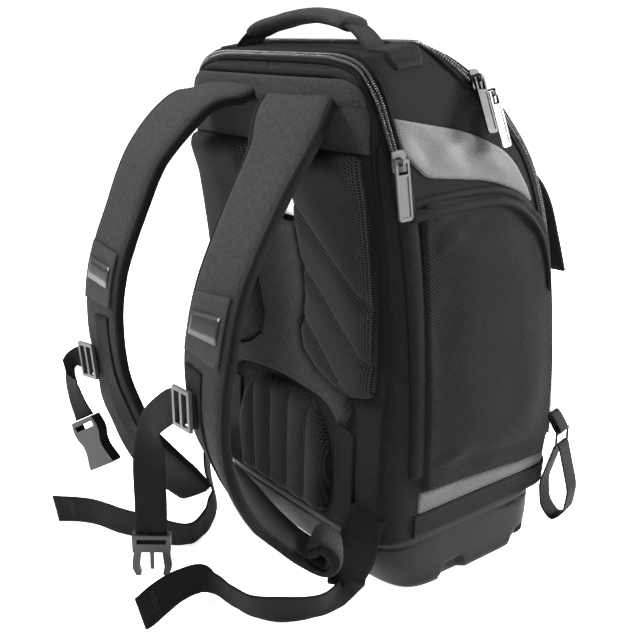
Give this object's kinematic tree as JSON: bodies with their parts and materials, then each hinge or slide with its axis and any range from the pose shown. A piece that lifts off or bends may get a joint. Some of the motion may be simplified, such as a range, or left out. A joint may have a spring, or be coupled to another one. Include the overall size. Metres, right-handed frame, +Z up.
{
  "type": "tool backpack",
  "caption": "Tall tool backpack with a moulded base tub, padded shoulder straps, mesh back pads, bulging side pockets and swinging zip pulls.",
  "frame": {"origin": "on the floor under the middle of the moulded base", "axes": "+Z up, -Y towards the wearer's back, +Y towards the front, +X to the right as seen from the straps"},
  "size_m": [0.3628, 0.4297, 0.5152],
  "materials": {
    "heather": "coarse heather weave",
    "dobby": "black ribbed weave",
    "mesh": "spacer mesh",
    "webbing": "woven webbing",
    "silver_cloth": "fine silver-grey weave",
    "moulded": "satin",
    "bright_metal": "satin",
    "dark_metal": "dark satin",
    "hard_plastic": "satin",
    "grey_plastic": "satin",
    "label": "smooth bare patch"
  },
  "bodies": {
    "pack": {"base_tub": "moulded", "main_shell": "dobby", "laptop_shell": "heather", "base_webbing": "webbing", "laptop_zip_chain": "hard_plastic", "main_zip_chain": "hard_plastic", "grey_strip_right": "silver_cloth", "silver_band_right": "silver_cloth", "side_pocket_right": "dobby", "grey_strip_left": "silver_cloth", "silver_band_left": "silver_cloth", "side_pocket_left": "dobby", "back_piping": "webbing", "back_yoke": "heather", "lumbar_pad": "mesh", "trolley_sleeve": "heather", "back_label": "label", "mesh_pad_right": "mesh", "lumbar_strip_right": "webbing", "mesh_pad_left": "mesh", "lumbar_strip_left": "webbing", "shoulder_strap_right": "heather", "shoulder_strap_left": "heather", "strap_strip_right": "webbing", "strap_patch_right": "webbing", "strap_strip_left": "webbing", "strap_patch_left": "webbing", "sternum_webbing_right": "webbing", "sternum_webbing_left": "webbing", "triglide_right": "bright_metal", "triglide_left": "bright_metal", "buckle_male": "grey_plastic", "buckle_female": "hard_plastic", "webbing_tail_right": "webbing", "webbing_tail_left": "webbing", "handle_webbing": "webbing", "handle_grip": "heather", "handle_patch_right": "webbing", "handle_patch_left": "webbing", "laptop_slider": "bright_metal", "main_slider_upper": "dark_metal", "main_slider_lower": "bright_metal", "front_panel": "heather", "front_tab": "dobby", "corner_ring": "dark_metal", "corner_loop": "webbing", "ring_keeper": "webbing"},
    "laptop_pull_body": {"laptop_pull": "bright_metal"},
    "main_pull_upper_body": {"main_pull_upper": "dark_metal"},
    "main_pull_lower_body": {"main_pull_lower": "bright_metal"}
  },
  "joints": [
    {"name": "laptop_pull_swing", "type": "hinge", "parent": "pack", "child": "laptop_pull_body", "pos_m": [0.14488, -0.09451, 0.39969], "axis": [-0.0938, -0.9932, -0.0694], "range_deg": [0, 110]},
    {"name": "main_pull_upper_swing", "type": "hinge", "parent": "pack", "child": "main_pull_upper_body", "pos_m": [0.135, -0.00324, 0.45842], "axis": [0.1104, -0.9939, 0], "range_deg": [0, 110]},
    {"name": "main_pull_lower_swing", "type": "hinge", "parent": "pack", "child": "main_pull_lower_body", "pos_m": [0.13741, 0.01212, 0.44638], "axis": [0.1757, -0.9821, -0.0687], "range_deg": [0, 110]}
  ]
}
